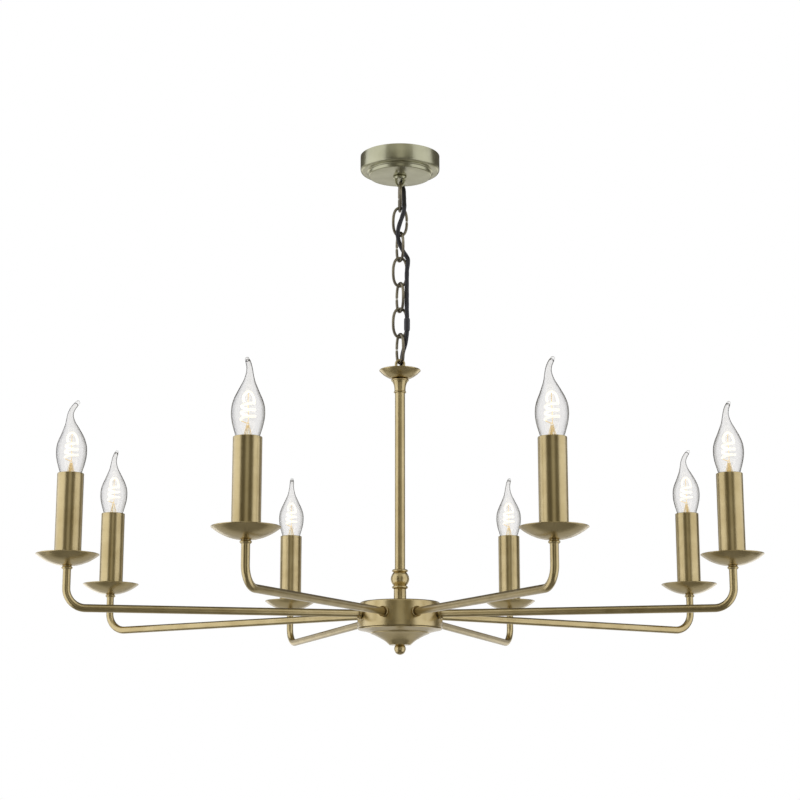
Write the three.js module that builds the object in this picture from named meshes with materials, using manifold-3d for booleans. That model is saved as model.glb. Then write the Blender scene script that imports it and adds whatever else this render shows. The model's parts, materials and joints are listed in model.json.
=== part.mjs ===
// Eight-arm candle chandelier in antique brass, hung from a ceiling canopy by a short chain.
// Units are millimetres, +Z is up, and the origin is the centre of the ceiling bracket's top face.

import * as THREE from 'three';
import { mergeVertices } from 'three/addons/utils/BufferGeometryUtils.js';
import Module from 'manifold-3d';

const wasm = await Module();
wasm.setup();

// ---------------------------------------------------------------- driving dimensions

const GAP = 0.3; // clearance between faces that touch on the real object
const OVERLAP = 1; // how far shapes that are joined or cut run into each other

// Arms and hub. Heights in this file are measured up from the arm plane unless they say otherwise.
const ARM_COUNT = 8;
const ARM_PLANE_DROP = 579; // ceiling to the height where the arms leave the hub
const FIRST_ARM_ANGLE = THREE.MathUtils.degToRad(22.5);
const ARM_REACH = 404; // hub axis to candle axis
const ARM_RADIUS = 4.5;
const ARM_BORE_RADIUS = 3.4;
const ARM_DROOP = THREE.MathUtils.degToRad(1.03);
const ARM_BEND_RADIUS = 22;
const ARM_START = 44; // inner end of an arm, inside the hub
const ARM_LEVEL_RADIUS = 49; // where a drooping arm's centre line crosses the arm plane
const FERRULE_RADIUS = 6.4;
const FERRULE_START = 51.6;
const FERRULE_LENGTH = 3.4;
const SHOULDER_NUT_RADIUS = 6.3;

// Candles
const DISH_RADIUS = 35.5;
const DISH_DEPTH = 13.2;
const DISH_RIM_HEIGHT = 53.5;
const DISH_WALL = 1;
const SLEEVE_RADIUS = 15;
const SLEEVE_WALL = 1;
const SLEEVE_TOP = 145.5;
const HOLDER_RADIUS = 12.6;
const HOLDER_RECESS = 13; // lampholder top below the sleeve top
const SOCKET_RADIUS = 8.2;
const SOCKET_DEPTH = 28.5;
const BULB_RADIUS = 17.4;
const BULB_HEIGHT = 82; // glass tip above the sleeve top
const BULB_CAP_RADIUS = 7;
const GLASS_WALL = 1;

// Hub and stem
const HUB_TOP = 15;
const HUB_WALL = 1.5;
const HUB_RIM_HEIGHT = -16.3;
const HUB_WIDEST_RADIUS = 51.4;
const COVER_FLAT_RADIUS = 12.7;
const COVER_BOTTOM = -36;
const BRIDGE_WIDTH = 9;
const BRIDGE_THICKNESS = 2;
const BRIDGE_HEIGHT = -12;
const FINIAL_RADIUS = 7;
const FINIAL_CENTRE = -40.6;
const FINIAL_SCREW_RADIUS = 2.3;
const STEM_RADIUS = 6.2;
const STEM_BORE_RADIUS = 5.2;
const NIPPLE_RADIUS = 4.9;
const KNOP_RADIUS = 11.1;
const KNOP_CENTRE = 43;
const TRUMPET_FOOT = 272.6;
const TRUMPET_TOP = 288.6;
const TRUMPET_RADIUS = 11.1;
const STEM_DISH_RADIUS = 25.5;
const STEM_DISH_RIM = 300.8;
const STEM_DISH_DEPTH = 12;

// Canopy, heights measured down from the ceiling
const CANOPY_RADIUS = 50;
const CANOPY_WALL = 1;
const CANOPY_WALL_HEIGHT = 21;
const CANOPY_DISC_RADIUS = 40;
const CANOPY_HEIGHT = 26.5;
const BRACKET_LENGTH = 84;
const BRACKET_WIDTH = 22;
const BRACKET_THICKNESS = 2.5;
const BRACKET_SLOT_SPACING = 60;
const BRACKET_SLOT_LENGTH = 12;
const BRACKET_SLOT_WIDTH = 5;
const BRACKET_BOSS_RADIUS = 8;
const BRACKET_BOSS_DEPTH = 11;
const BRACKET_THREAD_DEPTH = 9;

// Chain
const LINK_COUNT = 7;
const LINK_WIRE_RADIUS = 1.75;
const LINK_HALF_WIDTH = 8.5; // of the wire's centre line
const LINK_PITCH = 32.78;
const LINK_ROUNDNESS = 2.4; // exponent of the superellipse that a link follows
const LINK_SPLIT = 0.06; // half of the open joint in a link's side, as an angle
const LOOP_WIRE_RADIUS = 1.7;
const LOOP_HALF_WIDTH = 4.8;
const LOOP_BOTTOM = -39; // centre of the canopy loop's lowest stretch of wire
const LINK_TURNS = [96, 0, 118, 0, 118, 0, 118]; // each link's plane, degrees about +Z from X

// Cable
const CABLE_RADIUS = 2.8;
const CABLE_SLEEVE_RADIUS = 3.7;
const CABLE_HOLE_RADIUS = 3.7;
const CABLE_HOLE = { x: 2.5, y: 13.5 };

// The cable's route from inside the canopy, down beside and through the chain, to the stem's bore.
const CABLE_ROUTE = [
  [20, 24, -10], [13, 23, -12.5], [7, 19.5, -16], [3.2, 15, -21], [2.5, 13.5, -27], [2.8, 12.6, -33],
  [4.4, 9.6, -40], [5, 6, -48], [5.2, 2, -56], [5.3, -2, -62.5], [5.4, -5.3, -68.5], [4.6, -6.3, -75],
  [2.2, -6.4, -83], [-0.8, -6.3, -92], [-2.4, -6.4, -99], [-2.8, -5.4, -105], [-1.8, -3.2, -111],
  [0.8, -0.8, -118], [4.4, 1.1, -125], [7.6, 0.3, -130.5], [9.9, -2.8, -136], [9.8, -4.8, -142],
  [8.7, -5.2, -151], [8.4, -5.2, -165], [8.4, -5.2, -185], [8.4, -5.3, -201], [8.7, -6.1, -213],
  [8.6, -6.1, -229], [8, -5, -235.5], [7.2, -2.9, -242], [5.2, -0.2, -249], [3.4, 2.8, -255.5],
  [2.7, 5, -261.5], [2.7, 5.4, -266.5], [2.1, 4.7, -271], [1, 3, -275.5], [0.2, 1.1, -279.5],
  [0, 0.1, -284], [0, 0, -292],
];
const CABLE_SLEEVE_SPAN = [-213, -229];
const CABLE_END_HEIGHT = 4; // inside the hub

// ---------------------------------------------------------------- materials

const finishes = {
  brass: { color: 0x9a8a5c, roughness: 0.34, metalness: 1 },
  canopyBrass: { color: 0x9a927a, roughness: 0.4, metalness: 1 },
  chainBrass: { color: 0x5c543e, roughness: 0.4, metalness: 1 },
  steel: { color: 0xa8aaac, roughness: 0.45, metalness: 1 },
  holder: { color: 0xe6e1d4, roughness: 0.55, metalness: 0 },
  glass: { color: 0xf4f2ec, roughness: 0.05, metalness: 0 },
  cable: { color: 0x1f1e1c, roughness: 0.7, metalness: 0 },
};

function finish(name) {
  return new THREE.MeshStandardMaterial(finishes[name]);
}

// ---------------------------------------------------------------- geometry helpers

// A curve that passes through each of its points at equal steps, so bends get points of their own.
class RouteCurve extends THREE.Curve {
  constructor(points) {
    super();
    this.points = points;
  }

  getPoint(t, target = new THREE.Vector3()) {
    const last = this.points.length - 1;
    const place = THREE.MathUtils.clamp(t, 0, 1) * last;
    const index = Math.min(Math.floor(place), last - 1);
    return target.lerpVectors(this.points[index], this.points[index + 1], place - index);
  }

  getTangent(t, target = new THREE.Vector3()) {
    const last = this.points.length - 1;
    const index = Math.round(t * last);
    const before = this.points[Math.max(index - 1, 0)];
    const after = this.points[Math.min(index + 1, last)];
    return target.subVectors(after, before).normalize();
  }

  getUtoTmapping(u) {
    return u;
  }
}

function polygon(radius, sides) {
  const corners = [];
  for (let side = 0; side < sides; side += 1) {
    const angle = (2 * Math.PI * (side + 0.5)) / sides;
    corners.push(new THREE.Vector2(radius * Math.cos(angle), radius * Math.sin(angle)));
  }
  return new THREE.Shape(corners);
}

function rod(points, radius, sides) {
  const extrudePath = new RouteCurve(points);
  return new THREE.ExtrudeGeometry(polygon(radius, sides), { steps: points.length - 1, extrudePath });
}

// An upright cylinder between two heights.
function upright(radius, foot, top, sides) {
  const cylinder = new THREE.CylinderGeometry(radius, radius, top - foot, sides).rotateX(Math.PI / 2);
  return cylinder.translate(0, 0, (top + foot) / 2);
}

function turned(profile, segments) {
  const points = profile.map(([radius, height]) => new THREE.Vector2(radius, height));
  return new THREE.LatheGeometry(points, segments).rotateX(Math.PI / 2);
}

// Points of an arc in a profile, from one angle to another in degrees, both ends included.
function arc(centreRadius, centreHeight, radius, from, to, steps) {
  const points = [];
  for (let step = 0; step <= steps; step += 1) {
    const angle = THREE.MathUtils.degToRad(from + ((to - from) * step) / steps);
    points.push([centreRadius + radius * Math.cos(angle), centreHeight + radius * Math.sin(angle)]);
  }
  return points;
}

function toSolid(geometry) {
  const bare = geometry.clone();
  bare.deleteAttribute('normal');
  bare.deleteAttribute('uv');
  const merged = mergeVertices(bare, 1e-4);
  const vertProperties = new Float32Array(merged.attributes.position.array);
  const corners = merged.index.array;
  const kept = [];
  for (let start = 0; start < corners.length; start += 3) {
    const [a, b, c] = [corners[start], corners[start + 1], corners[start + 2]];
    if (a !== b && b !== c && c !== a) {
      kept.push(a, b, c);
    }
  }
  return new wasm.Manifold(new wasm.Mesh({ numProp: 3, vertProperties, triVerts: new Uint32Array(kept) }));
}

function toGeometry(solid) {
  const mesh = solid.getMesh();
  const geometry = new THREE.BufferGeometry();
  geometry.setAttribute('position', new THREE.BufferAttribute(new Float32Array(mesh.vertProperties), 3));
  geometry.setIndex(new THREE.BufferAttribute(new Uint32Array(mesh.triVerts), 1));
  geometry.computeVertexNormals();
  return geometry;
}

function join(...geometries) {
  return geometries.map(toSolid).reduce((whole, piece) => whole.add(piece));
}

function cut(solid, ...geometries) {
  return geometries.map(toSolid).reduce((rest, tool) => rest.subtract(tool), solid);
}

const vector = (x, y, z) => new THREE.Vector3(x, y, z);

const chandelier = new THREE.Group();

function addPiece(parent, name, geometry, finishName) {
  const mesh = new THREE.Mesh(geometry, finish(finishName));
  mesh.name = name;
  parent.add(mesh);
  return mesh;
}

// ---------------------------------------------------------------- ceiling fitting

function ceilingBracket() {
  const bar = new THREE.BoxGeometry(BRACKET_LENGTH, BRACKET_WIDTH, BRACKET_THICKNESS);
  bar.translate(0, 0, -BRACKET_THICKNESS / 2);
  const bossFoot = -BRACKET_THICKNESS - BRACKET_BOSS_DEPTH;
  const boss = upright(BRACKET_BOSS_RADIUS, bossFoot, -BRACKET_THICKNESS + OVERLAP, 12);
  const threadRadius = NIPPLE_RADIUS + 2 * GAP;
  const thread = upright(threadRadius, bossFoot - OVERLAP, bossFoot + BRACKET_THREAD_DEPTH, 12);
  const slots = [-1, 1].map((side) => {
    const slot = new THREE.BoxGeometry(BRACKET_SLOT_LENGTH, BRACKET_SLOT_WIDTH, 4 * BRACKET_THICKNESS);
    return slot.translate((side * BRACKET_SLOT_SPACING) / 2, 0, 0);
  });
  return toGeometry(cut(join(bar, boss), thread, ...slots));
}

function ceilingCanopy() {
  const edge = 4;
  const disc = 2;
  const inside = CANOPY_WALL;
  const outer = [
    [CANOPY_RADIUS, 0],
    ...arc(CANOPY_RADIUS - edge, -CANOPY_WALL_HEIGHT + edge, edge, 0, -90, 3),
    [CANOPY_DISC_RADIUS + 2, -CANOPY_WALL_HEIGHT - 0.8],
    ...arc(CANOPY_DISC_RADIUS - disc, -CANOPY_HEIGHT + disc, disc, 0, -90, 2),
    [NIPPLE_RADIUS + 2 * GAP, -CANOPY_HEIGHT],
  ];
  const inner = [
    [NIPPLE_RADIUS + 2 * GAP, -CANOPY_HEIGHT + inside],
    [CANOPY_DISC_RADIUS - disc, -CANOPY_HEIGHT + inside],
    [CANOPY_DISC_RADIUS - inside, -CANOPY_WALL_HEIGHT + inside - 0.8],
    [CANOPY_RADIUS - edge, -CANOPY_WALL_HEIGHT + inside],
    [CANOPY_RADIUS - inside, -CANOPY_WALL_HEIGHT + edge],
    [CANOPY_RADIUS - inside, 0],
  ];
  const shell = turned([...outer, ...inner, outer[0]].reverse(), 28);
  const reach = 5 * CANOPY_WALL;
  const cableHole = upright(CABLE_HOLE_RADIUS, -CANOPY_HEIGHT - reach, -CANOPY_HEIGHT + reach, 12);
  cableHole.translate(CABLE_HOLE.x, CABLE_HOLE.y, 0);
  return toGeometry(cut(join(shell), cableHole));
}

// The wire of a hanging eye: two legs and a half circle, in the XZ plane. Side is -1 for an eye
// whose bow is at the bottom and 1 for one whose bow is at the top.
function eyeWire(bowHeight, legHeight, side) {
  const centre = bowHeight - side * LOOP_HALF_WIDTH;
  const points = [vector(LOOP_HALF_WIDTH, 0, legHeight)];
  const bowSteps = 8;
  for (let step = 0; step <= bowSteps; step += 1) {
    const angle = (Math.PI * step) / bowSteps;
    const height = centre + side * LOOP_HALF_WIDTH * Math.sin(angle);
    points.push(vector(LOOP_HALF_WIDTH * Math.cos(angle), 0, height));
  }
  points.push(vector(-LOOP_HALF_WIDTH, 0, legHeight));
  return rod(points, LOOP_WIRE_RADIUS, 8);
}

function canopyLoop() {
  const collarTop = -CANOPY_HEIGHT - GAP;
  const collarHeight = 3.4;
  const collar = turned([
    [0, collarTop - collarHeight], [7.2, collarTop - collarHeight], [8.5, collarTop - 2.2],
    [8.5, collarTop], [NIPPLE_RADIUS, collarTop], [NIPPLE_RADIUS, -6], [0, -6],
  ], 14);
  const eye = eyeWire(LOOP_BOTTOM, collarTop - OVERLAP, -1);
  return toGeometry(join(collar, eye));
}

// ---------------------------------------------------------------- chain

const linkBarHeight = LINK_PITCH + 2 * LINK_WIRE_RADIUS + GAP; // wire centre to wire centre, end to end
const firstLinkTop = LOOP_BOTTOM + LOOP_WIRE_RADIUS + LINK_WIRE_RADIUS + GAP;
const lastLinkBottom = firstLinkTop - (LINK_COUNT - 1) * LINK_PITCH - linkBarHeight;
const stemLoopTop = lastLinkBottom + LOOP_WIRE_RADIUS + LINK_WIRE_RADIUS + GAP;

// A link is one bent wire whose two ends meet at an open joint in the middle of one side.
function chainLink() {
  const halfHeight = linkBarHeight / 2;
  const power = 2 / LINK_ROUNDNESS;
  const steps = 20;
  const points = [];
  for (let step = 0; step <= steps; step += 1) {
    const angle = LINK_SPLIT + ((2 * Math.PI - 2 * LINK_SPLIT) * step) / steps;
    const across = Math.sign(Math.cos(angle)) * Math.abs(Math.cos(angle)) ** power;
    const along = Math.sign(Math.sin(angle)) * Math.abs(Math.sin(angle)) ** power;
    points.push(vector(LINK_HALF_WIDTH * across, 0, halfHeight * along));
  }
  return rod(points, LINK_WIRE_RADIUS, 6);
}

function addChain() {
  for (let index = 0; index < LINK_COUNT; index += 1) {
    const link = addPiece(chandelier, `chain_link_${index + 1}`, chainLink(), 'chainBrass');
    link.position.z = firstLinkTop - index * LINK_PITCH - linkBarHeight / 2;
    link.rotation.z = THREE.MathUtils.degToRad(LINK_TURNS[index]);
  }
}

// ---------------------------------------------------------------- supply cable

function cablePoints() {
  const points = CABLE_ROUTE.map((place) => vector(...place));
  points.push(vector(0, 0, CABLE_END_HEIGHT - ARM_PLANE_DROP));
  return points;
}

function cableSleeve() {
  const [top, bottom] = CABLE_SLEEVE_SPAN;
  const routePlace = (height) => vector(...CABLE_ROUTE.find((place) => place[2] === height));
  const path = [routePlace(top), routePlace(bottom)];
  const body = join(rod(path, CABLE_SLEEVE_RADIUS, 12));
  const bore = rod(overrun(path, 4 * OVERLAP), CABLE_RADIUS + 0.5, 12);
  return toGeometry(cut(body, bore));
}

// ---------------------------------------------------------------- stem

// A spun dish: a shallow bowl, part of a sphere, with a hole in its middle.
function spunDish(radius, rimHeight, depth, holeRadius, segments) {
  const sphere = (radius ** 2 + depth ** 2) / (2 * depth);
  const bottom = rimHeight - depth;
  const height = (at) => bottom + sphere - Math.sqrt(sphere ** 2 - at ** 2);
  const stations = [holeRadius, radius * 0.45, radius * 0.75, radius];
  const outer = stations.map((at) => [at, height(at)]);
  const inner = stations.map((at) => [at, Math.min(height(at) + DISH_WALL, rimHeight + DISH_WALL)]);
  inner[stations.length - 1] = [radius - DISH_WALL / 2, rimHeight + DISH_WALL / 2];
  return turned([...outer, ...inner.reverse(), outer[0]], segments);
}

function stemLoop() {
  const collarTop = STEM_DISH_RIM - 5.6;
  const dishFloor = STEM_DISH_RIM - STEM_DISH_DEPTH + DISH_WALL + GAP;
  const nippleEnd = TRUMPET_FOOT - 8;
  const boreRadius = 3.5;
  const collar = turned([
    [boreRadius, nippleEnd], [NIPPLE_RADIUS, nippleEnd], [NIPPLE_RADIUS, dishFloor + 0.4],
    [7.6, dishFloor + 1], [7.6, collarTop - 1], [6.8, collarTop], [boreRadius, collarTop],
    [boreRadius, nippleEnd],
  ], 14);
  const eye = eyeWire(stemLoopTop + ARM_PLANE_DROP, collarTop - 1.5, 1);
  const bore = upright(boreRadius, collarTop - 7, collarTop + OVERLAP, 14);
  return toGeometry(cut(join(collar, eye), bore));
}

function stemCollar() {
  const bore = STEM_RADIUS + GAP;
  return turned([
    [bore, TRUMPET_FOOT], [7, TRUMPET_FOOT], [7.1, TRUMPET_FOOT + 1.4], [6.8, TRUMPET_FOOT + 2],
    [7, TRUMPET_FOOT + 6], [8.2, TRUMPET_FOOT + 11], [TRUMPET_RADIUS - 0.6, TRUMPET_TOP - 2.6],
    [TRUMPET_RADIUS, TRUMPET_TOP - 1.6], [TRUMPET_RADIUS - 0.3, TRUMPET_TOP - 0.4],
    [bore, TRUMPET_TOP - 0.4], [bore, TRUMPET_FOOT],
  ], 16);
}

function stemTube() {
  const foot = HUB_TOP + GAP;
  const nippleFoot = HUB_TOP - 7;
  const top = TRUMPET_TOP - 2;
  return turned([
    [CABLE_RADIUS + 0.6, nippleFoot], [NIPPLE_RADIUS, nippleFoot], [NIPPLE_RADIUS, foot],
    [STEM_RADIUS, foot], [STEM_RADIUS, top], [STEM_BORE_RADIUS, top], [STEM_BORE_RADIUS, foot + 4],
    [CABLE_RADIUS + 0.6, foot + 2], [CABLE_RADIUS + 0.6, nippleFoot],
  ], 14);
}

function stemKnop() {
  const bore = STEM_RADIUS + GAP;
  const foot = HUB_TOP + GAP;
  const ballAngle = 41;
  return turned([
    [bore, foot], [7.5, foot], [7.5, 31], [9, 31.3], [9.4, 33], [9, 34.8],
    ...arc(0, KNOP_CENTRE, KNOP_RADIUS, -ballAngle, ballAngle, 5),
    [9, 51.2], [9.5, 52.8], [9, 54.6], [bore, 54.9], [bore, foot],
  ], 14);
}

// ---------------------------------------------------------------- hub

function hubBody() {
  const hole = NIPPLE_RADIUS + GAP;
  const outer = [
    [hole, HUB_TOP], [46.4, HUB_TOP], [47.7, HUB_TOP - 0.7], [48.2, HUB_TOP - 2],
    [50.2, 1], [HUB_WIDEST_RADIUS, -8], [HUB_WIDEST_RADIUS, -13], [50.6, HUB_RIM_HEIGHT],
  ];
  const inner = [
    [50.6 - HUB_WALL, HUB_RIM_HEIGHT], [HUB_WIDEST_RADIUS - HUB_WALL, -12.5],
    [HUB_WIDEST_RADIUS - HUB_WALL, -8], [50.2 - HUB_WALL, 1], [46.4, HUB_TOP - HUB_WALL],
    [hole, HUB_TOP - HUB_WALL],
  ];
  const cup = turned([...outer, ...inner, outer[0]].reverse(), 24);
  const bridgeLength = 2 * (HUB_WIDEST_RADIUS - HUB_WALL / 2);
  const bridge = new THREE.BoxGeometry(bridgeLength, BRIDGE_WIDTH, BRIDGE_THICKNESS);
  bridge.translate(0, 0, BRIDGE_HEIGHT);
  const studRadius = FINIAL_SCREW_RADIUS + GAP + 0.1;
  const studHole = upright(studRadius, BRIDGE_HEIGHT - 4 * OVERLAP, BRIDGE_HEIGHT + 4 * OVERLAP, 10);
  const armHoles = [];
  const armHoleRadius = ARM_RADIUS + 2 * GAP;
  for (let arm = 0; arm < ARM_COUNT; arm += 1) {
    const armHole = new THREE.CylinderGeometry(armHoleRadius, armHoleRadius, 12, 12);
    armHole.rotateZ(Math.PI / 2).translate(ARM_LEVEL_RADIUS + 0.5, 0, 0).rotateZ(armAngle(arm));
    armHoles.push(armHole);
  }
  return toGeometry(cut(join(cup, bridge), studHole, ...armHoles));
}

function hubBottomCover() {
  const rim = HUB_RIM_HEIGHT - GAP;
  const step = 35.6;
  const stepHeight = -21.3;
  const outer = [
    [50.3, rim], [50.1, rim - 0.7], [43, -19.4], [step, stepHeight - 0.1], [step - 0.4, stepHeight - 0.9],
    [26.6, -26.3], [18.2, -31.1], [COVER_FLAT_RADIUS + 0.6, COVER_BOTTOM + 0.7],
    [COVER_FLAT_RADIUS - 0.4, COVER_BOTTOM], [2.9, COVER_BOTTOM],
  ];
  const inner = [
    [2.9, COVER_BOTTOM + 1.2], [11.6, COVER_BOTTOM + 1.2], [17.6, -29.4], [26.2, -24.7],
    [step - 0.6, stepHeight + 0.9], [42.8, -17.9], [48.6, rim],
  ];
  return turned([...outer, ...inner, outer[0]].reverse(), 24);
}

function hubFinial() {
  const neck = COVER_BOTTOM - GAP;
  const neckAngle = 38;
  const screwEnd = BRIDGE_HEIGHT + 3;
  return turned([
    ...arc(0, FINIAL_CENTRE, FINIAL_RADIUS, -90, neckAngle, 7),
    [5, neck], [FINIAL_SCREW_RADIUS, neck], [FINIAL_SCREW_RADIUS, screwEnd], [0, screwEnd],
  ], 14);
}

// ---------------------------------------------------------------- arms and candles

function armAngle(arm) {
  return FIRST_ARM_ANGLE + (2 * Math.PI * arm) / ARM_COUNT;
}

const dishBottom = DISH_RIM_HEIGHT - DISH_DEPTH;
const nutTop = dishBottom - GAP;
const nutHeight = 3.3;
const threadTop = dishBottom + 9;

// An arm's centre line in the XZ plane, from inside the hub to the threaded end above the dish.
function armPath() {
  const along = vector(Math.cos(ARM_DROOP), 0, -Math.sin(ARM_DROOP));
  const corner = vector(ARM_REACH, 0, -(ARM_REACH - ARM_LEVEL_RADIUS) * Math.tan(ARM_DROOP));
  const turn = Math.PI / 2 + ARM_DROOP;
  const tangentLength = ARM_BEND_RADIUS * Math.tan(turn / 2);
  const start = corner.clone().addScaledVector(along, -(ARM_REACH - ARM_START) / along.x);
  const centre = vector(ARM_REACH - ARM_BEND_RADIUS, 0, corner.z + tangentLength);
  const points = [start];
  const bendSteps = 5;
  for (let step = 0; step <= bendSteps; step += 1) {
    const angle = -turn + (turn * step) / bendSteps;
    const offset = vector(Math.cos(angle), 0, Math.sin(angle)).multiplyScalar(ARM_BEND_RADIUS);
    points.push(centre.clone().add(offset));
  }
  points.push(vector(ARM_REACH, 0, threadTop));
  return points;
}

// Lengthens a path at both ends, so that a bore cut along it opens both of them.
function overrun(points, extra) {
  const longer = points.map((point) => point.clone());
  const last = longer.length - 1;
  longer[0].addScaledVector(points[1].clone().sub(points[0]).normalize(), -extra);
  longer[last].addScaledVector(points[last - 1].clone().sub(points[last]).normalize(), -extra);
  return longer;
}

function armTube() {
  const path = armPath();
  const along = path[1].clone().sub(path[0]).normalize();
  const ferruleStart = path[0].clone().addScaledVector(along, FERRULE_START - ARM_START);
  const ferruleEnd = ferruleStart.clone().addScaledVector(along, FERRULE_LENGTH);
  const ferrule = rod([ferruleStart, ferruleEnd], FERRULE_RADIUS, 8);
  const nutEnds = [vector(ARM_REACH, 0, nutTop - nutHeight), vector(ARM_REACH, 0, nutTop)];
  const nut = rod(nutEnds, SHOULDER_NUT_RADIUS, 8);
  const whole = join(rod(path, ARM_RADIUS, 8), ferrule, nut);
  return toGeometry(cut(whole, rod(overrun(path, 3 * OVERLAP), ARM_BORE_RADIUS, 6)));
}

function candleSleeve() {
  const floor = dishBottom + DISH_WALL + 2.5;
  const lip = 0.4;
  const bore = SLEEVE_RADIUS - SLEEVE_WALL;
  return turned([
    [bore, floor], [SLEEVE_RADIUS, floor], [SLEEVE_RADIUS, SLEEVE_TOP], [bore - lip, SLEEVE_TOP],
    [bore - lip, SLEEVE_TOP - 1], [bore, SLEEVE_TOP - 1.6], [bore, floor],
  ], 12);
}

function lampholder() {
  const foot = dishBottom + DISH_WALL + 1.2;
  const top = SLEEVE_TOP - HOLDER_RECESS;
  const bore = ARM_RADIUS + 2 * GAP;
  const waist = 9;
  return turned([
    [bore, foot], [waist, foot], [waist, foot + 16], [HOLDER_RADIUS, foot + 20],
    [HOLDER_RADIUS, top], [SOCKET_RADIUS, top], [SOCKET_RADIUS, top - SOCKET_DEPTH],
    [bore, top - SOCKET_DEPTH - 2], [bore, foot],
  ], 8);
}

// The glass follows a flame outline, and its cap goes down into the lampholder's socket.
function bulb() {
  const tip = SLEEVE_TOP + BULB_HEIGHT;
  const capTop = SLEEVE_TOP - HOLDER_RECESS - 1;
  const contact = capTop - 25;
  const widest = SLEEVE_TOP + 26;
  const contactRadius = 2.4;
  return turned([
    [0, tip - 8], [9.4, widest + 21], [BULB_RADIUS - GLASS_WALL, widest], [10.8, SLEEVE_TOP],
    [BULB_CAP_RADIUS - GLASS_WALL, capTop], [contactRadius, contact + 3],
    [contactRadius, contact], [4, contact], [BULB_CAP_RADIUS, contact + 4], [BULB_CAP_RADIUS, capTop],
    [12, SLEEVE_TOP], [16.4, widest - 10], [BULB_RADIUS, widest],
    [15.9, widest + 10], [11.5, widest + 20], [7, widest + 30], [3, tip - 12], [0, tip],
  ], 10);
}

function addArm(arm) {
  const group = new THREE.Group();
  group.position.z = -ARM_PLANE_DROP;
  group.rotation.z = armAngle(arm);
  chandelier.add(group);
  addPiece(group, `arm_tube_${arm + 1}`, armTube(), 'brass');
  const dish = spunDish(DISH_RADIUS, DISH_RIM_HEIGHT, DISH_DEPTH, ARM_RADIUS + 2 * GAP, 14);
  const candle = new THREE.Group();
  candle.position.x = ARM_REACH;
  group.add(candle);
  addPiece(candle, `candle_dish_${arm + 1}`, dish, 'brass');
  addPiece(candle, `candle_sleeve_${arm + 1}`, candleSleeve(), 'brass');
  addPiece(candle, `lampholder_${arm + 1}`, lampholder(), 'holder');
  addPiece(candle, `bulb_${arm + 1}`, bulb(), 'glass');
}

// ---------------------------------------------------------------- assembly

addPiece(chandelier, 'ceiling_bracket', ceilingBracket(), 'steel');
addPiece(chandelier, 'ceiling_canopy', ceilingCanopy(), 'canopyBrass');
addPiece(chandelier, 'canopy_loop', canopyLoop(), 'canopyBrass');
addChain();
addPiece(chandelier, 'supply_cable', rod(cablePoints(), CABLE_RADIUS, 8), 'cable');
addPiece(chandelier, 'cable_sleeve', cableSleeve(), 'cable');

const fixture = new THREE.Group();
fixture.position.z = -ARM_PLANE_DROP;
chandelier.add(fixture);
const stemDishHole = NIPPLE_RADIUS + GAP;
const stemDish = spunDish(STEM_DISH_RADIUS, STEM_DISH_RIM, STEM_DISH_DEPTH, stemDishHole, 20);
addPiece(fixture, 'stem_loop', stemLoop(), 'brass');
addPiece(fixture, 'stem_dish', stemDish, 'brass');
addPiece(fixture, 'stem_collar', stemCollar(), 'brass');
addPiece(fixture, 'stem_tube', stemTube(), 'brass');
addPiece(fixture, 'stem_knop', stemKnop(), 'brass');
addPiece(fixture, 'hub_body', hubBody(), 'brass');
addPiece(fixture, 'hub_bottom_cover', hubBottomCover(), 'brass');
addPiece(fixture, 'hub_finial', hubFinial(), 'brass');

for (let arm = 0; arm < ARM_COUNT; arm += 1) {
  addArm(arm);
}

export default chandelier;
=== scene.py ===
"""The looks of an eight-arm brass candle chandelier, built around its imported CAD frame.

Everything is placed in metres, +Z up, with the origin at the centre of the ceiling bracket's top face.
Outlines are written in millimetres. Heights of the fixture's parts are above the plane of its arms;
those of the ceiling fitting, the chain and the cable are from the ceiling.
"""

import json
import math

import bmesh
import bpy
from mathutils import Matrix, Vector


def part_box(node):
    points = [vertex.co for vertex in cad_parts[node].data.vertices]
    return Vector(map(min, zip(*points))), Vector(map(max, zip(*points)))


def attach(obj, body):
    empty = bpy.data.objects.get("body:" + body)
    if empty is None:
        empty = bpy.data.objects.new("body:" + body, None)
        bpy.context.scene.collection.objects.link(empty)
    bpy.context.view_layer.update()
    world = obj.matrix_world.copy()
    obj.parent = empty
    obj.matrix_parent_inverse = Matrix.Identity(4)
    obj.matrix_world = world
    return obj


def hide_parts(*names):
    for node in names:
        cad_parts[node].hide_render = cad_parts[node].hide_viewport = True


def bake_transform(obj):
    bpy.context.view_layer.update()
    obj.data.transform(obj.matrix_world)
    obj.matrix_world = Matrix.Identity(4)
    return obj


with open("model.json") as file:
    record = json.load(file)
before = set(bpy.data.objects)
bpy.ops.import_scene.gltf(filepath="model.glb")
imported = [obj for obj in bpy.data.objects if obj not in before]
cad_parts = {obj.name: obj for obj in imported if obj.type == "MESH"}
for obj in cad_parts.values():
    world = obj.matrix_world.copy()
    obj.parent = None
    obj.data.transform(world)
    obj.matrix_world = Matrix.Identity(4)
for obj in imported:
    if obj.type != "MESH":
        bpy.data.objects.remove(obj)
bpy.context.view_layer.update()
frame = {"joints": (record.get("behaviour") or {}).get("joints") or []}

MM = 0.001
ARM_COUNT = 8
LINK_COUNT = 7

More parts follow.
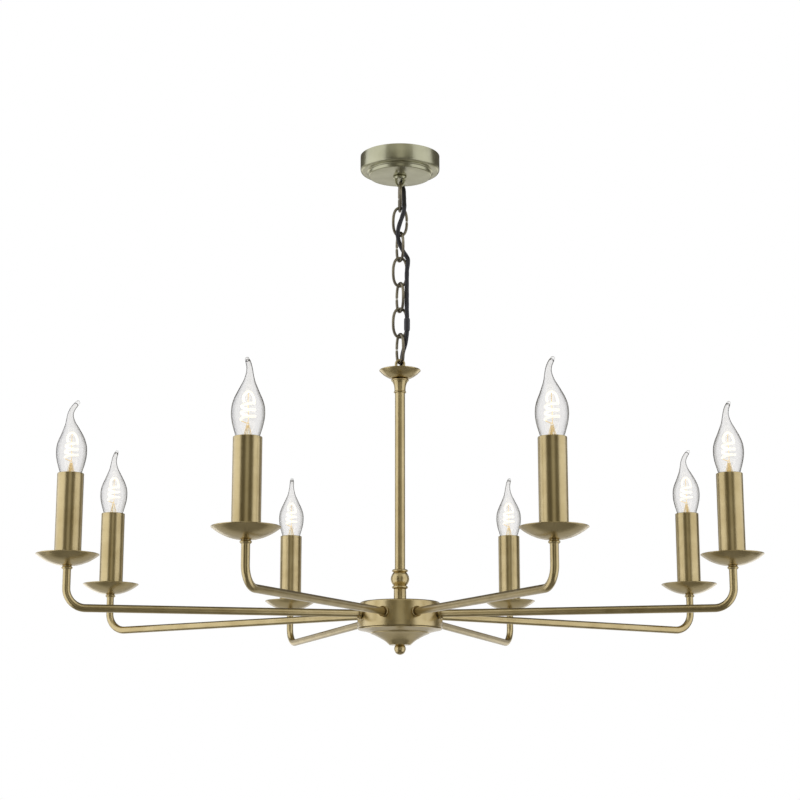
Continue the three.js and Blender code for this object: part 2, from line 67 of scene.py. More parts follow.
# Heights and radii shared by several pieces, in millimetres.
HUB_TOP = 15
HUB_RIM = -16.3
STEM_RADIUS = 6.2
NIPPLE_RADIUS = 4.9
ARM_RADIUS = 4.5
ARM_BORE = 3.4
ARM_BEND_RADIUS = 22
ARM_DROOP = math.radians(1.03)
ARM_START = 44
ARM_LEVEL_RADIUS = 49
CANDLE_REACH = 404
FERRULE_START = 51.6
DISH_RIM = 53.5
DISH_BOTTOM = 40.3
SLEEVE_TOP = 145.5
HOLDER_TOP = 132.5
CAP_TOP = SLEEVE_TOP - 13.4
CAP_RADIUS = 7
CANOPY_DEPTH = 26.5
CABLE_RADIUS = 2.8
CABLE_HOLE = (2.5, 13.5)
LOOP_HALF_WIDTH = 4.8
LOOP_WIRE = 1.7
LINK_WIRE = 1.75
LINK_HALF_WIDTH = 8.5

# The height of the arms' plane in metres, from the frame.
ARM_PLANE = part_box("hub_body")[1].z - HUB_TOP * MM


def candle_angle(arm):
    """The direction of an arm's candle about the Z axis, from the frame."""
    low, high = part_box(f"candle_sleeve_{arm}")
    return math.atan2(low.y + high.y, low.x + high.x)


# ---------------------------------------------------------------- node helpers


def new_material(name):
    """A new material with its nodes, links, shader and object coordinates."""
    material = bpy.data.materials.new(name)
    material.use_nodes = True
    nodes = material.node_tree.nodes
    coordinates = nodes.new("ShaderNodeTexCoord").outputs["Object"]
    return material, nodes, material.node_tree.links, nodes["Principled BSDF"], coordinates


def set_socket(shader, **values):
    """Sets the shader's own sockets; underscores in a name stand for spaces."""
    for name, value in values.items():
        shader.inputs[name.replace("_", " ")].default_value = value


def noise(nodes, links, coordinates, scale, detail=3.0, stretch=(1, 1, 1)):
    """Soft noise; stretch multiplies its scale along each axis."""
    mapping = nodes.new("ShaderNodeMapping")
    mapping.inputs["Scale"].default_value = stretch
    links.new(coordinates, mapping.inputs["Vector"])
    texture = nodes.new("ShaderNodeTexNoise")
    texture.inputs["Scale"].default_value = scale
    texture.inputs["Detail"].default_value = detail
    links.new(mapping.outputs["Vector"], texture.inputs["Vector"])
    return texture.outputs["Fac"]


def remap(nodes, links, value, low, high, new_low, new_high):
    """Carries a value's range from low to high over to a new range, held within its ends."""
    node = nodes.new("ShaderNodeMapRange")
    for socket, number in zip(("From Min", "From Max", "To Min", "To Max"), (low, high, new_low, new_high)):
        node.inputs[socket].default_value = number
    links.new(value, node.inputs["Value"])
    return node.outputs["Result"]


def blend_colours(nodes, links, factor, first, second):
    """Mixes two colours; each is a plain colour or a socket."""
    node = nodes.new("ShaderNodeMix")
    node.data_type = "RGBA"
    links.new(factor, node.inputs["Factor"])
    for socket, colour in ((node.inputs[6], first), (node.inputs[7], second)):
        if isinstance(colour, bpy.types.NodeSocket):
            links.new(colour, socket)
        else:
            socket.default_value = (*colour, 1)
    return node.outputs[2]


def add_bump(nodes, links, shader, height, strength, distance):
    bump = nodes.new("ShaderNodeBump")
    bump.inputs["Strength"].default_value = strength
    bump.inputs["Distance"].default_value = distance
    links.new(height, bump.inputs["Height"])
    links.new(bump.outputs["Normal"], shader.inputs["Normal"])


# ---------------------------------------------------------------- materials


def antique_metal(name, bright, toned, worn, rough_low, rough_high, on_lathe=True):
    """Lacquered antique metal: toning in soft patches, fine brushed lines, dark hollows and worn edges."""
    material, nodes, links, shader, coordinates = new_material(name)
    patches = noise(nodes, links, coordinates, 38, 4)
    stretch = (24, 24, 420) if on_lathe else (120, 120, 120)
    lines = noise(nodes, links, coordinates, 4, 2, stretch)
    colour = blend_colours(nodes, links, remap(nodes, links, patches, 0.35, 0.68, 0, 1), bright, toned)
    streaked = blend_colours(nodes, links, remap(nodes, links, lines, 0.3, 0.75, 0, 0.28), colour, toned)
    pointiness = nodes.new("ShaderNodeNewGeometry").outputs["Pointiness"]
    hollows = remap(nodes, links, pointiness, 0.45, 0.38, 0, 0.5)
    shaded = blend_colours(nodes, links, hollows, streaked, tuple(0.45 * part for part in toned))
    edges = remap(nodes, links, pointiness, 0.57, 0.67, 0, 0.45)
    links.new(blend_colours(nodes, links, edges, shaded, worn), shader.inputs["Base Color"])
    links.new(remap(nodes, links, lines, 0.2, 0.8, rough_low, rough_high), shader.inputs["Roughness"])
    set_socket(shader, Metallic=1.0, Coat_Weight=0.6, Coat_Roughness=0.15)
    add_bump(nodes, links, shader, lines, 0.35, 0.00001)
    return material


def galvanised_steel():
    material, nodes, links, shader, coordinates = new_material("galvanised_steel")
    spangle = nodes.new("ShaderNodeTexVoronoi")
    spangle.inputs["Scale"].default_value = 180
    links.new(coordinates, spangle.inputs["Vector"])
    tone = remap(nodes, links, spangle.outputs["Distance"], 0, 0.8, 0, 1)
    colour = blend_colours(nodes, links, tone, (0.50, 0.51, 0.53), (0.66, 0.67, 0.68))
    links.new(colour, shader.inputs["Base Color"])
    links.new(remap(nodes, links, tone, 0, 1, 0.34, 0.5), shader.inputs["Roughness"])
    set_socket(shader, Metallic=1.0)
    add_bump(nodes, links, shader, tone, 0.1, 0.0001)
    return material


def clear_glass(name, body, rim):
    """Thin blown glass, with the faint waves that blowing leaves, and a painted shade that darkens it
    towards its outline.
    """
    material, nodes, links, shader, coordinates = new_material(name)
    waves = noise(nodes, links, coordinates, 55, 2)
    facing = nodes.new("ShaderNodeLayerWeight").outputs["Facing"]
    # Painted shade: the base colour turns from body to rim where the glass is seen edge-on, for the dark
    # edges that refraction and reflection give clear glass.
    grazing = remap(nodes, links, facing, 0.3, 0.9, 0, 1)
    outline_shade_tint = blend_colours(nodes, links, grazing, body, rim)
    links.new(outline_shade_tint, shader.inputs["Base Color"])
    set_socket(shader, Roughness=0.0, IOR=1.45, Transmission_Weight=1.0)
    add_bump(nodes, links, shader, waves, 0.03, 0.0002)
    return material


def glowing(name, first, second, strength):
    """Something that shines, a little uneven along its length: the lit spiral, and the gilt lead wires as a
    painted glow.
    """
    material, nodes, links, shader, coordinates = new_material(name)
    mottle = remap(nodes, links, noise(nodes, links, coordinates, 420, 3), 0.3, 0.7, 0, 1)
    glow = blend_colours(nodes, links, mottle, first, second)
    links.new(glow, shader.inputs["Base Color"])
    links.new(glow, shader.inputs["Emission Color"])
    set_socket(shader, Emission_Strength=strength, Roughness=0.5)
    return material


def moulded(name, first, second, rough_low, rough_high, grain):
    """A moulded plastic, rubber or ceramic, with a fine surface grain."""
    material, nodes, links, shader, coordinates = new_material(name)
    speckle = noise(nodes, links, coordinates, grain, 4)
    mottle = remap(nodes, links, speckle, 0.3, 0.7, 0, 1)
    links.new(blend_colours(nodes, links, mottle, first, second), shader.inputs["Base Color"])
    links.new(remap(nodes, links, speckle, 0.2, 0.8, rough_low, rough_high), shader.inputs["Roughness"])
    add_bump(nodes, links, shader, speckle, 0.15, 0.00008)
    return material


BRASS_TONES = ((0.57, 0.455, 0.21), (0.45, 0.345, 0.14), (0.74, 0.64, 0.42))
BRASS = antique_metal("antique_brass", *BRASS_TONES, 0.28, 0.32)
ARM_BRASS = antique_metal("antique_brass_drawn", *BRASS_TONES, 0.28, 0.32, on_lathe=False)
CANOPY_BRASS = antique_metal(
    "canopy_brass", (0.45, 0.435, 0.265), (0.36, 0.345, 0.20), (0.66, 0.65, 0.50), 0.28, 0.33
)
# Painted shade: the chain's brass is a much darker copy of the fixture's brass, standing in for the dark
# surroundings that its links reflect.
CHAIN_BRASS_PAINTED_DARK = antique_metal(
    "chain_brass", (0.34, 0.295, 0.18), (0.10, 0.082, 0.048), (0.52, 0.46, 0.32), 0.30, 0.42, on_lathe=False
)
CAP_BRASS = antique_metal("cap_brass", (0.72, 0.60, 0.33), (0.62, 0.50, 0.26), (0.85, 0.76, 0.52), 0.18, 0.3)
# Painted glow: the gilt lead wires shine with emission of their own, though only the spiral gives light in
# the bulb.
GILT_PAINTED_GLOW = glowing("gilt_wire_painted_glow", (0.92, 0.66, 0.28), (1.0, 0.80, 0.44), 0.62)
STEEL = galvanised_steel()
# The second colour of each glass is its painted shade at the outline.
GLASS = clear_glass("clear_glass", (0.95, 0.944, 0.936), (0.52, 0.52, 0.515))
STEM_GLASS = clear_glass("stem_glass", (1.0, 0.96, 0.84), (0.98, 0.88, 0.62))
FILAMENT = glowing("lit_spiral", (1.0, 0.93, 0.80), (1.0, 0.97, 0.88), 1.15)
HOLDER = moulded("holder_ceramic", (0.80, 0.77, 0.70), (0.74, 0.70, 0.62), 0.35, 0.5, 300)
INSULATOR = moulded("cap_insulator", (0.020, 0.019, 0.022), (0.03, 0.028, 0.03), 0.2, 0.35, 400)
CABLE = moulded("cable_pvc", (0.014, 0.013, 0.012), (0.026, 0.024, 0.022), 0.42, 0.6, 700)
SHRINK = moulded("shrink_sleeve", (0.026, 0.025, 0.025), (0.042, 0.040, 0.038), 0.35, 0.5, 500)
TERMINAL = moulded("terminal_nylon", (0.74, 0.73, 0.68), (0.68, 0.66, 0.60), 0.4, 0.55, 350)
CORES = {
    "live": moulded("core_brown", (0.11, 0.045, 0.02), (0.14, 0.06, 0.028), 0.4, 0.5, 500),
    "neutral": moulded("core_blue", (0.02, 0.075, 0.30), (0.03, 0.10, 0.36), 0.4, 0.5, 500),
    "earth": moulded("core_green", (0.04, 0.22, 0.05), (0.50, 0.46, 0.03), 0.4, 0.5, 120),
}

# ---------------------------------------------------------------- outline helpers


def arc(centre, radius, start, end, steps):
    """Points of an arc in an outline, angles in degrees, both ends included."""
    points = []
    for step in range(steps + 1):
        angle = math.radians(start + (end - start) * step / steps)
        points.append((centre[0] + radius * math.cos(angle), centre[1] + radius * math.sin(angle)))
    return points


def flowing(points, steps=6):
    """A smooth curve through the points, in any number of dimensions."""
    points = [Vector(point) for point in points]
    padded = [2 * points[0] - points[1], *points, 2 * points[-1] - points[-2]]
    result = []
    for index in range(len(points) - 1):
        p0, p1, p2, p3 = padded[index:index + 4]
        for step in range(steps):
            t = step / steps
            slope = (p2 - p0) * t + (2 * p0 - 5 * p1 + 4 * p2 - p3) * t ** 2
            result.append(p1 + 0.5 * (slope + (3 * p1 - p0 - 3 * p2 + p3) * t ** 3))
    result.append(points[-1])
    return [tuple(point) for point in result]


def softened(points, radius=0.35, steps=3, closed=True):
    """Rounds the corners of an outline; corners that hardly turn are left alone."""
    result = []
    count = len(points)
    for index, point in enumerate(points):
        here = Vector(point)
        if not closed and index in (0, count - 1):
            result.append(tuple(here))
            continue
        before = Vector(points[index - 1]) - here
        after = Vector(points[(index + 1) % count]) - here
        turn = math.pi - before.angle(after, math.pi)
        if turn < math.radians(16):
            result.append(tuple(here))
            continue
        cut = min(radius, before.length * 0.45, after.length * 0.45)
        start = here + before.normalized() * cut
        end = here + after.normalized() * cut
        for step in range(steps + 1):
            t = step / steps
            result.append(tuple(start * (1 - t) ** 2 + here * 2 * t * (1 - t) + end * t ** 2))
    return result


# ---------------------------------------------------------------- mesh helpers


def make_piece(name, vertices, faces, material, crease=38):
    mesh = bpy.data.meshes.new(name)
    mesh.from_pydata(vertices, [], faces)
    shaped = bmesh.new()
    shaped.from_mesh(mesh)
    bmesh.ops.remove_doubles(shaped, verts=shaped.verts, dist=1e-7)
    bmesh.ops.recalc_face_normals(shaped, faces=shaped.faces)
    shaped.to_mesh(mesh)
    shaped.free()
    piece = bpy.data.objects.new(name, mesh)
    bpy.context.scene.collection.objects.link(piece)
    piece.data.materials.append(material)
    shade(piece, crease)
    return piece


def shade(piece, crease):
    piece.data.shade_smooth()
    piece.data.set_sharp_from_angle(angle=math.radians(crease))


def turned(outline, segments, ring=True):
    """Turns a millimetre outline about Z. A ring outline closes on itself; another ends on the axis."""
    vertices, rows, faces = [], [], []
    for radius, height in outline:
        if radius < 1e-6:
            rows.append([len(vertices)] * segments)
            vertices.append((0, 0, height * MM))
            continue
        rows.append([len(vertices) + side for side in range(segments)])
        for side in range(segments):
            angle = 2 * math.pi * side / segments
            vertices.append((radius * math.cos(angle) * MM, radius * math.sin(angle) * MM, height * MM))
    last = len(rows) if ring else len(rows) - 1
    for row in range(last):
        upper, lower = rows[row], rows[(row + 1) % len(rows)]
        for side in range(segments):
            following = (side + 1) % segments
            corners = [upper[side], upper[following], lower[following], lower[side]]
            corners = list(dict.fromkeys(corners))
            if len(corners) > 2:
                faces.append(corners)
    return vertices, faces


def wall_between(first, second, sides):
    """The faces between two rings of vertices, each ring given by the index of its first vertex."""
    faces = []
    for step in range(sides):
        beside = (step + 1) % sides
        faces.append((first + step, first + beside, second + beside, second + step))
    return faces


def spoke(cross_frame, step, sides):
    """The unit vector that points from a path to one vertex of the ring around it."""
    side, across = cross_frame
    angle = 2 * math.pi * step / sides
    return side * math.cos(angle) + across * math.sin(angle)


def cross_frames(points):
    """A pair of unit vectors across the path at each point, carried along it without twisting."""
    tangents = []
    for index in range(len(points)):
        before = points[max(index - 1, 0)]
        after = points[min(index + 1, len(points) - 1)]
        tangents.append((after - before).normalized())
    start = Vector((1, 0, 0)) if abs(tangents[0].x) < 0.8 else Vector((0, 1, 0))
    side = (start - tangents[0] * start.dot(tangents[0])).normalized()
    frames = []
    for tangent in tangents:
        side = (side - tangent * side.dot(tangent)).normalized()
        frames.append((side, tangent.cross(side)))
    return frames


def tube(points, radius, sides, bore=None, bulge=None):
    """A wire along points, or a pipe where it has a bore. Bulge scales the radius by place and angle."""
    points = [Vector(point) * MM for point in points]
    frames = cross_frames(points)
    vertices, faces = [], []

    def add_wall(wall_radius, shape):
        first = len(vertices)
        for index, (point, cross_frame) in enumerate(zip(points, frames)):
            for step in range(sides):
                scale = shape(index, 2 * math.pi * step / sides) if shape else 1
                vertices.append(point + spoke(cross_frame, step, sides) * wall_radius * MM * scale)
        for ring in range(first, first + (len(points) - 1) * sides, sides):
            faces.extend(wall_between(ring, ring + sides, sides))
        return first

    outer = add_wall(radius, bulge)
    end = (len(points) - 1) * sides
    if bore is None:
        faces.append(tuple(range(outer, outer + sides)))
        faces.append(tuple(range(outer + end, outer + end + sides)))
        return vertices, faces
    inner = add_wall(bore, None)
    for offset in (0, end):
        faces += wall_between(outer + offset, inner + offset, sides)
    return vertices, faces


def joined(*shapes):
    """Several vertex and face lists as one."""
    vertices, faces = [], []
    for shape_vertices, shape_faces in shapes:
        first = len(vertices)
        vertices += [Vector(vertex) for vertex in shape_vertices]
        faces += [tuple(corner + first for corner in face) for face in shape_faces]
    return vertices, faces


def moved(shape, matrix):
    vertices, faces = shape
    return [matrix @ Vector(vertex) for vertex in vertices], faces


def slab(outline, foot, top):
    """A straight-sided block from a millimetre outline, with a small chamfer on its edges."""
    rim = 0.25
    centre = sum((Vector(point) for point in outline), Vector((0, 0))) / len(outline)
    levels = [(foot, rim), (foot + rim, 0), (top - rim, 0), (top, rim)]
    vertices, faces = [], []
    for height, inset in levels:
        for point in outline:
            from_centre = Vector(point) - centre
            corner = centre + from_centre * (1 - inset / max(from_centre.length, 1))
            vertices.append((corner.x * MM, corner.y * MM, height * MM))
    count = len(outline)
    top_ring = (len(levels) - 1) * count
    for ring in range(0, top_ring, count):
        faces += wall_between(ring, ring + count, count)
    faces.append(tuple(range(count)))
    faces.append(tuple(range(top_ring, top_ring + count)))
    return vertices, faces


def rounded_oblong(length, width, radius, steps=5, centre=(0, 0)):
    """The outline of an oblong with round corners."""
    points = []
    for start, sign_x, sign_y in ((0, 1, 1), (90, -1, 1), (180, -1, -1), (270, 1, -1)):
        corner = (centre[0] + sign_x * (length / 2 - radius), centre[1] + sign_y * (width / 2 - radius))
        points += arc(corner, radius, start, start + 90, steps)
    return points


def cut_away(piece, shape, crease=38):
    """Cuts a closed shape out of a piece."""
    vertices, faces = shape
    tool = make_piece("cutter", vertices, faces, piece.data.materials[0])
    modifier = piece.modifiers.new("cut", "BOOLEAN")
    modifier.operation = "DIFFERENCE"
    modifier.solver = "EXACT"
    modifier.object = tool
    evaluated = piece.evaluated_get(bpy.context.evaluated_depsgraph_get())
    mesh = bpy.data.meshes.new_from_object(evaluated)
    piece.modifiers.clear()
    piece.data = mesh
    bpy.data.objects.remove(tool)
    shade(piece, crease)


def place(piece, body, slot, *nodes, at=None):
    """Puts a finished piece on its body and hides the CAD nodes that it stands for; the finish slot is not
    used.
    """
    if at is not None:
        piece.matrix_world = at
    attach(piece, body)
    if nodes:
        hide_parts(*nodes)
    return piece


# ---------------------------------------------------------------- ceiling fitting


def ceiling_bracket():
    """The strap that is screwed to the ceiling, with its two slots and its threaded boss."""
    foot, bore, slot_place = -2.5, 5.5, 30
    bar = make_piece("bracket", *slab(rounded_oblong(84, 22, 3), foot, 0), STEEL)
    for side in (-1, 1):
        cut_away(bar, slab(rounded_oblong(12, 5, 2.4, centre=(slot_place * side, 0)), -5, 3))
    cut_away(bar, turned([(0, -5), (bore, -5), (bore, 3), (0, 3)], 32, ring=False))
    place(bar, "ceiling", "steel", "ceiling_bracket")
    threads = [(bore + 0.25 * (turn % 2), -13 + 0.5 * turn) for turn in range(25)]
    outline = softened([(7.6, -13.5), (8, -13.1), (8, foot), (bore, foot)], closed=False) + threads[::-1]
    boss = make_piece("bracket_boss", *turned(outline, 40), STEEL)
    place(boss, "ceiling", "steel", "ceiling_bracket")


def ceiling_canopy():
    """The stepped spun cup, and the grommet in its cable hole."""
    at_hole = Matrix.Translation((CABLE_HOLE[0] * MM, CABLE_HOLE[1] * MM, 0))
    outer = [(50, 0), *arc((46.2, -17.2), 3.8, 0, -90, 8), (42.4, -21), *arc((42.2, -21.6), 0.6, 90, 180, 3)]
    outer += [(41.2, -21.9), (40.2, -22.6), *arc((38, -24.5), 2, 0, -90, 6), (5.6, -CANOPY_DEPTH)]
    inner = [(5.6, -25.5), (38, -25.5), (39, -24), (39.4, -21), (41.8, -20), (46, -20), (49, -17), (49, 0)]
    shell = make_piece("canopy", *turned(softened(outer, 0.3) + softened(inner, 0.5), 128), CANOPY_BRASS)
    hole = turned([(0, -30), (3.7, -30), (3.7, -20), (0, -20)], 28, ring=False)
    cut_away(shell, moved(hole, at_hole))
    place(shell, "ceiling", "canopy_brass", "ceiling_canopy")
    grommet_outline = [
        (2.9, -27.6), (3.6, -27.8), (4.6, -27.3), (4.6, -26.7), (3.6, -26.55), (3.6, -25.45), (4.5, -25.3),
        (4.5, -24.8), (3.6, -24.3), (2.9, -24.5),
    ]
    grommet = make_piece("cable_grommet", *turned(softened(grommet_outline, 0.25), 32), SHRINK)
    place(grommet, "ceiling", "cable_black", at=at_hole)


def eye_wire(bow_height, leg_height, side):
    """The wire of a hanging eye in the XZ plane. Side is -1 where its bow is at the bottom, 1 at the top."""
    centre = bow_height - side * LOOP_HALF_WIDTH
    bow = arc((0, 0), LOOP_HALF_WIDTH, 0, 180, 20)
    leg = [leg_height + (centre - leg_height) * step / 4 for step in range(4)]
    points = [(LOOP_HALF_WIDTH, 0, height) for height in leg]
    points += [(x, 0, centre + side * height) for x, height in bow]
    points += [(-LOOP_HALF_WIDTH, 0, height) for height in reversed(leg)]
    return tube(points, LOOP_WIRE, 20)


def canopy_loop():
    """The turned collar and the eye that the first link hangs in."""
    collar = softened([
        (0, -30.2), (7.0, -30.2), (7.6, -29.4), (8.5, -28.6), (8.5, -26.8), (NIPPLE_RADIUS, -26.8),
        (NIPPLE_RADIUS, -6), (0, -6),
    ], 0.4, closed=False)
    loop = joined(turned(collar, 48, ring=False), eye_wire(-39, -28.2, -1))
    place(make_piece("canopy_eye", *loop, CANOPY_BRASS), "ceiling", "canopy_brass", "canopy_loop")


def terminal_block():
    """Three screw terminals in a nylon strip inside the canopy, with the cable's cores in them."""
    centre, pitch = (28, 24), 6
    base = [slab(rounded_oblong(11, 17.6, 1, centre=centre), -9.5, -6)]
    screws = []
    for index in (-1, 0, 1):
        spot = (centre[0], centre[1] + pitch * index)
        base.append(slab(rounded_oblong(9, 4.6, 1, centre=spot), -14, -9.4))
        outline = softened([(0, -15.4), (1.6, -15.4), (1.9, -14.9), (1.9, -12), (0, -12)], closed=False)
        screw = turned(outline, 20, ring=False)
        screws.append(moved(screw, Matrix.Translation((spot[0] * MM, spot[1] * MM, 0))))
    place(make_piece("terminal_block", *joined(*base), TERMINAL, 30), "ceiling", "lampholder")
    place(make_piece("terminal_screws", *joined(*screws), CAP_BRASS), "ceiling", "steel")
    for index, (core, material) in enumerate(CORES.items()):
        middle, row = centre[1], index - 1
        end_y = middle + pitch * row
        route = flowing([
            (18.2, middle + 0.7 * row, -10.6), (20.4, middle + 1.4 * row, -10.3),
            (22.2, (middle + end_y) / 2, -11), (24.4, end_y, -11.6), (26, end_y, -11.8),
        ], 5)
        place(make_piece(f"core_{core}", *tube(route, 0.8, 12), material), "ceiling", "cable_black")


# ---------------------------------------------------------------- chain

LINK_TURNS = (96, 0, 118, 0, 118, 0, 118)  # which way each link faces, degrees about +Z
LINK_ROUNDNESS = 2.4  # the power of the link's super-ellipse; 2 would be an ellipse
LINK_JOINT = 0.014  # half of the open joint, as an angle


def chain_link(index):
    """One bent wire, its two cut ends facing each other across a small gap in the middle of one side."""
    low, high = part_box(f"chain_link_{index}")
    half_height = (high.z - low.z) / 2 / MM - LINK_WIRE
    power = 2 / LINK_ROUNDNESS
    steps = 72
    points = []
    for step in range(steps + 1):
        angle = LINK_JOINT + (2 * math.pi - 2 * LINK_JOINT) * step / steps
        across = math.copysign(abs(math.cos(angle)) ** power, math.cos(angle))
        along = math.copysign(abs(math.sin(angle)) ** power, math.sin(angle))
        points.append((LINK_HALF_WIDTH * across, 0, half_height * along))

    def cut_ends(place_along, _angle):
        return 0.86 if place_along in (0, steps) else 1

    link = make_piece(f"link_{index}", *tube(points, LINK_WIRE, 18, bulge=cut_ends), CHAIN_BRASS_PAINTED_DARK)
    centre = Matrix.Translation((0, 0, (high.z + low.z) / 2))
    turn = Matrix.Rotation(math.radians(LINK_TURNS[index - 1]), 4, "Z")
    place(link, f"link_{index}", "chain_brass", f"chain_link_{index}", at=centre @ turn)


# ---------------------------------------------------------------- supply cable

CABLE_ROUTE = [
    (20, 24, -10), (13, 23, -12.5), (7, 19.5, -16), (3.2, 15, -21), (2.5, 13.5, -27), (2.8, 12.6, -33),
    (4.4, 9.6, -40), (5, 6, -48), (5.2, 2, -56), (5.3, -2, -62.5), (5.4, -5.3, -68.5), (4.6, -6.3, -75),
    (2.2, -6.4, -83), (-0.8, -6.3, -92), (-2.4, -6.4, -99), (-2.8, -5.4, -105), (-1.8, -3.2, -111),
    (0.8, -0.8, -118), (4.4, 1.1, -125), (7.6, 0.3, -130.5), (9.9, -2.8, -136), (9.8, -4.8, -142),
    (8.7, -5.2, -151), (8.4, -5.2, -165), (8.4, -5.2, -185), (8.4, -5.3, -201), (8.7, -6.1, -213),
    (8.6, -6.1, -229), (8, -5, -235.5), (7.2, -2.9, -242), (5.2, -0.2, -249), (3.4, 2.8, -255.5),
    (2.7, 5, -261.5), (2.7, 5.4, -266.5), (2.1, 4.7, -271), (1, 3, -275.5), (0.2, 1.1, -279.5),
    (0, 0.1, -284), (0, 0, -292),
]
CABLE_SLEEVE_SPAN = (-213, -229)  # heights of two points of the route
CABLE_END = 4  # height of the cable's end above the arm plane
CABLE_TWIST = 26  # length of one turn of the two cores that show through the sheath


def crossing(route, height):
    """The point where a falling route passes a height."""
    for before, after in zip(route, route[1:]):
        if before[2] >= height > after[2]:
            share = (before[2] - height) / (before[2] - after[2])
            return tuple(a + (b - a) * share for a, b in zip(before, after))
    raise ValueError(f"the cable doesn't pass height {height}")


def cable_pieces():
    """The cable in one piece for each contact in the chain, cut halfway between the joints."""
    end_height = ARM_PLANE / MM + CABLE_END
    route = flowing(CABLE_ROUTE, 6)
    last = route[-1][2]
    route += [(0, 0, last + (end_height - last) * step / 30) for step in range(1, 31)]
    swings = [joint for joint in frame["joints"] if joint["name"].startswith("chain_swing")]
    heights = [joint["pos_m"][2] / MM for joint in swings]
    cuts = [1.0] + [(upper + lower) / 2 for upper, lower in zip(heights, heights[1:])] + [end_height - 1]
    for index, joint in enumerate(swings):
        top, bottom = cuts[index], cuts[index + 1]
        points = [crossing(route, top)] if index else []
        points += [point for point in route if bottom < point[2] < top]
        points += [crossing(route, bottom)] if index < len(swings) - 1 else []

        def two_cores(place_along, angle, points=points):
            return 0.965 + 0.035 * math.cos(2 * (angle - 2 * math.pi * points[place_along][2] / CABLE_TWIST))

        piece = make_piece(f"cable_{index + 1}", *tube(points, CABLE_RADIUS, 24, bulge=two_cores), CABLE)
        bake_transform(piece)
        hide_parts("supply_cable")


def cable_sleeve():
    """The shrunk sleeve over the cable's splice, a little tighter at its ends."""
    top, bottom = CABLE_SLEEVE_SPAN
    ends = [Vector(point) for point in CABLE_ROUTE if point[2] in (top, bottom)]
    steps = 16
    points = [ends[0].lerp(ends[1], step / steps) for step in range(steps + 1)]

    def shrunk(place_along, _angle):
        from_end = min(place_along, steps - place_along)
        return (0.86, 0.95, 0.985)[from_end] if from_end < 3 else 1

    sleeve = make_piece("splice_sleeve", *tube(points, 3.7, 28, bore=2.95, bulge=shrunk), SHRINK)
    place(sleeve, "link_6", "cable_black", "cable_sleeve")


# ---------------------------------------------------------------- stem and hub


def fixture_piece(name, shape, node=None, material=BRASS, crease=38):
    """A piece of the fixture, drawn about the fixture's axis at the height of the arm plane."""
    piece = make_piece(name, *shape, material, crease)
    return place(piece, "fixture", "antique_brass", *([node] if node else []),
                 at=Matrix.Translation((0, 0, ARM_PLANE)))


def bowl_outline(radius, rim, depth, hole, wall=1.0, steps=14):
    """A spun bowl, part of a sphere, with a rolled rim and a hole in its middle."""
    sphere = (radius ** 2 + depth ** 2) / (2 * depth)
    centre = rim - depth + sphere
    under = []
    for step in range(steps + 1):
        at = hole + (radius - 0.9 - hole) * step / steps
        under.append((at, centre - math.sqrt(sphere ** 2 - at ** 2)))
    tilt = math.degrees(math.asin(radius / sphere))
    bead = arc((radius - 0.55, rim), 0.55, tilt - 90, tilt + 110, 8)
    over = [(at - 0.2, height + wall) for at, height in under[1:]]
    return under + bead + over[::-1] + [(hole, under[0][1] + wall)]


def stem_top():
    """The small dish, the loop above it and the trumpet collar below it."""
    fixture_piece("stem_bowl", turned(bowl_outline(25.5, 300.8, 12, 5.2, steps=12), 96), "stem_dish")
    collar_top, dish_floor = 295.2, 290.1
    collar = softened([
        (3.5, 264.6), (NIPPLE_RADIUS, 264.6), (NIPPLE_RADIUS, dish_floor + 0.4), (7.6, dish_floor + 1),
        (7.6, collar_top - 1),
        (6.8, collar_top), (3.5, collar_top),
    ], 0.4)
    eye_top = (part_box("stem_loop")[1].z - ARM_PLANE) / MM - LOOP_WIRE
    loop = joined(turned(collar, 48), eye_wire(eye_top, collar_top - 1.5, 1))
    fixture_piece("stem_eye", loop, "stem_loop")
    trumpet = [(6.5, 272.6), (7, 272.6), *arc((6.9, 273.5), 0.85, -60, 60, 5), (6.8, 274.8)]
    trumpet += flowing([(6.85, 275.4), (7.0, 279), (7.6, 282.6), (8.8, 285.6), (10.1, 287.6)], 4)
    trumpet += [*arc((10.1, 288.6), 0.9, -60, 90, 6), (6.5, 289.2)]
    fixture_piece("stem_trumpet", turned(softened(trumpet, 0.2), 56), "stem_collar")


def stem_column():
    """The stem's pipe and the turned knop at its foot."""
    foot, top = HUB_TOP + 0.3, 286.6
    tube_outline = softened([
        (3.4, HUB_TOP - 7), (NIPPLE_RADIUS, HUB_TOP - 7), (NIPPLE_RADIUS, foot), (STEM_RADIUS, foot),
        (STEM_RADIUS, top), (5.2, top), (5.2, foot + 4), (3.4, foot + 2),
    ], 0.25)
    fixture_piece("stem_pipe", turned(tube_outline, 56), "stem_tube")
    knop = [(6.35, foot), *arc((7.1, foot + 0.4), 0.4, -90, 0, 2), (7.5, foot + 2), (7.5, 30.4)]
    knop += [(7.9, 31.1), *arc((8.2, 32.9), 1.5, -75, 75, 8), (7.6, 34.9)]
    knop += arc((0, 43), 11.1, -44, 44, 18)
    knop += [(7.7, 51.0), *arc((8.1, 52.8), 1.55, -75, 75, 8), (7.2, 54.8), (6.35, 54.9)]
    fixture_piece("stem_knop_turning", turned(knop, 64), "stem_knop")


